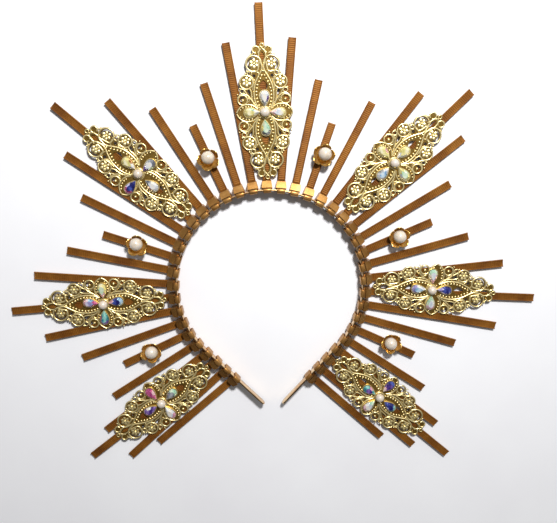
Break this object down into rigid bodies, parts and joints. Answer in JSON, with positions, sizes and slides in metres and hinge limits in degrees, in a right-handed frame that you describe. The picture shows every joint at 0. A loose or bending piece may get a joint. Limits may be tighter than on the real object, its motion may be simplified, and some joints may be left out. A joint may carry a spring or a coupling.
{
  "type": "halo crown headpiece",
  "caption": "Halo crown: a slim headband with a fan of cable-tie rays round it, pierced filigree settings with drop crystals, and pearls in flower caps.",
  "frame": {"origin": "middle of the crown's outline on the plane that it lies on, under the rear walls of the cable-tie heads", "axes": "+Z out of the crown's front face, +Y to the top of the halo, +X to the right as seen from the front"},
  "size_m": [0.3334, 0.2938, 0.0112],
  "materials": {
    "band_metal": "worn satin gold plate on spring steel",
    "painted_nylon": "nylon under gold-brown metallic spray paint, half matt",
    "filigree_metal": "pale gold plated brass, darkened in the recesses",
    "crystal": "faceted glass with a rainbow coating",
    "pearl": "cream pearl lacquer, glossy",
    "cap_metal": "bright gold plate"
  },
  "bodies": {
    "root": {"headband": "band_metal", "tie_01": "painted_nylon", "tie_02": "painted_nylon", "tie_03": "painted_nylon", "tie_04": "painted_nylon", "tie_05": "painted_nylon", "tie_06": "painted_nylon", "tie_07": "painted_nylon", "tie_08": "painted_nylon", "tie_09": "painted_nylon", "tie_10": "painted_nylon", "tie_11": "painted_nylon", "tie_12": "painted_nylon", "tie_13": "painted_nylon", "tie_14": "painted_nylon", "tie_15": "painted_nylon", "tie_16": "painted_nylon", "tie_17": "painted_nylon", "tie_18": "painted_nylon", "tie_19": "painted_nylon", "tie_20": "painted_nylon", "tie_21": "painted_nylon", "tie_22": "painted_nylon", "tie_23": "painted_nylon", "tie_24": "painted_nylon", "tie_25": "painted_nylon", "tie_26": "painted_nylon", "tie_27": "painted_nylon", "tie_28": "painted_nylon", "tie_29": "painted_nylon", "tie_30": "painted_nylon", "tie_31": "painted_nylon", "tie_32": "painted_nylon", "tie_33": "painted_nylon", "tie_34": "painted_nylon", "tie_35": "painted_nylon", "tie_36": "painted_nylon", "tie_37": "painted_nylon", "tie_38": "painted_nylon", "tie_39": "painted_nylon", "tie_40": "painted_nylon", "tie_41": "painted_nylon", "filigree_1": "filigree_metal", "filigree_2": "filigree_metal", "filigree_3": "filigree_metal", "filigree_4": "filigree_metal", "filigree_5": "filigree_metal", "filigree_6": "filigree_metal", "filigree_7": "filigree_metal", "crystals_1": "crystal", "crystals_2": "crystal", "crystals_3": "crystal", "crystals_4": "crystal", "crystals_5": "crystal", "crystals_6": "crystal", "crystals_7": "crystal", "centre_pearls": "pearl", "flower_caps": "cap_metal", "cap_pearls": "pearl"}
  },
  "joints": []
}
